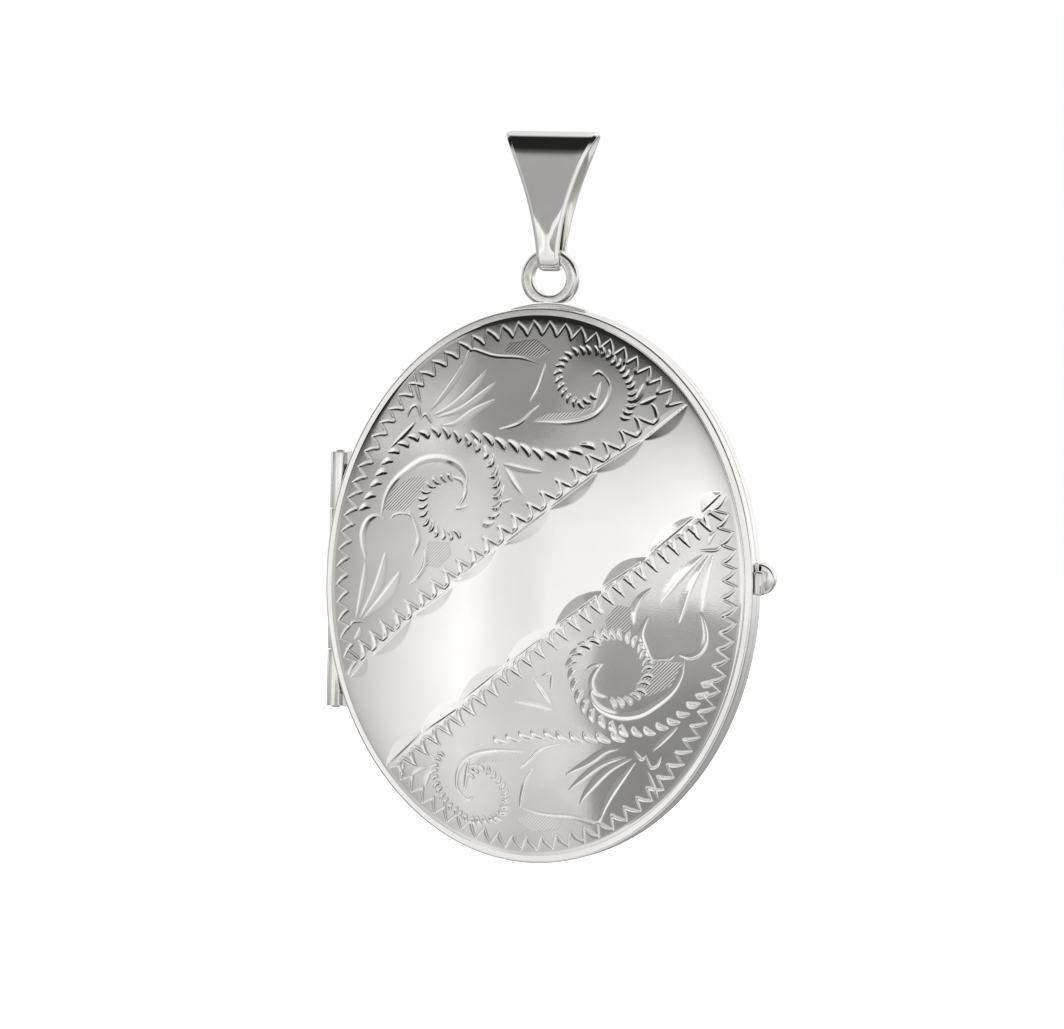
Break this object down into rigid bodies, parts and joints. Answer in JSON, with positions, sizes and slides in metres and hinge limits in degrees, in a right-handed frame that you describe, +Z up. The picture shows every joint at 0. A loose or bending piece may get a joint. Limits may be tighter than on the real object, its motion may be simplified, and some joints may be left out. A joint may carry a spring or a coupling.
{
  "type": "locket",
  "caption": "Oval hinged locket with engraved domed cover, thumb tabs and tapered bail; opens to hold a photograph in each half.",
  "frame": {"origin": "where the chain's centre lies inside the bail, under its fold", "axes": "+Z up, along the hanging locket's height; the engraved front cover faces -Y; the hinge is at -X and the thumb tabs are at +X"},
  "size_m": [0.0331, 0.0085, 0.0524],
  "materials": {
    "polished_silver": "polished sterling silver with hand engraving on the front cover",
    "satin_silver": "satin sterling silver, unpolished inner surfaces and solder fillets",
    "steel_pin": "drawn hinge wire with filed ends",
    "clear_acetate": "clear acetate sheet over each picture",
    "card": "plain ivory backing card"
  },
  "bodies": {
    "bail": {"bail": "polished_silver"},
    "back_half": {"loop_ring": "polished_silver", "loop_saddle": "polished_silver", "back_cover": "polished_silver", "back_rim": "polished_silver", "closing_lip": "satin_silver", "back_frame_seat": "satin_silver", "back_photo_card": "card", "back_window": "clear_acetate", "back_photo_frame": "polished_silver", "back_thumb_tab": "polished_silver", "back_hinge_bearer_upper": "satin_silver", "back_hinge_bearer_lower": "satin_silver", "hinge_knuckle_back_top": "polished_silver", "hinge_knuckle_back_middle": "polished_silver", "hinge_knuckle_back_bottom": "polished_silver", "hinge_pin": "steel_pin"},
    "front_half": {"front_cover": "polished_silver", "front_rim": "polished_silver", "front_frame_seat": "satin_silver", "front_photo_card": "card", "front_window": "clear_acetate", "front_photo_frame": "polished_silver", "front_thumb_tab": "polished_silver", "front_hinge_bearer_upper": "satin_silver", "front_hinge_bearer_lower": "satin_silver", "hinge_knuckle_front_upper": "polished_silver", "hinge_knuckle_front_lower": "polished_silver"}
  },
  "joints": [
    {"name": "bail_swing", "type": "hinge", "parent": "bail", "child": "back_half", "pos_m": [0, 0, -0.00768], "axis": [1, 0, 0], "range_deg": [-80, 80]},
    {"name": "locket_opening", "type": "hinge", "parent": "back_half", "child": "front_half", "pos_m": [-0.01528, -0.00055, -0.0313], "axis": [0, 0, -1], "range_deg": [0, 110]}
  ]
}
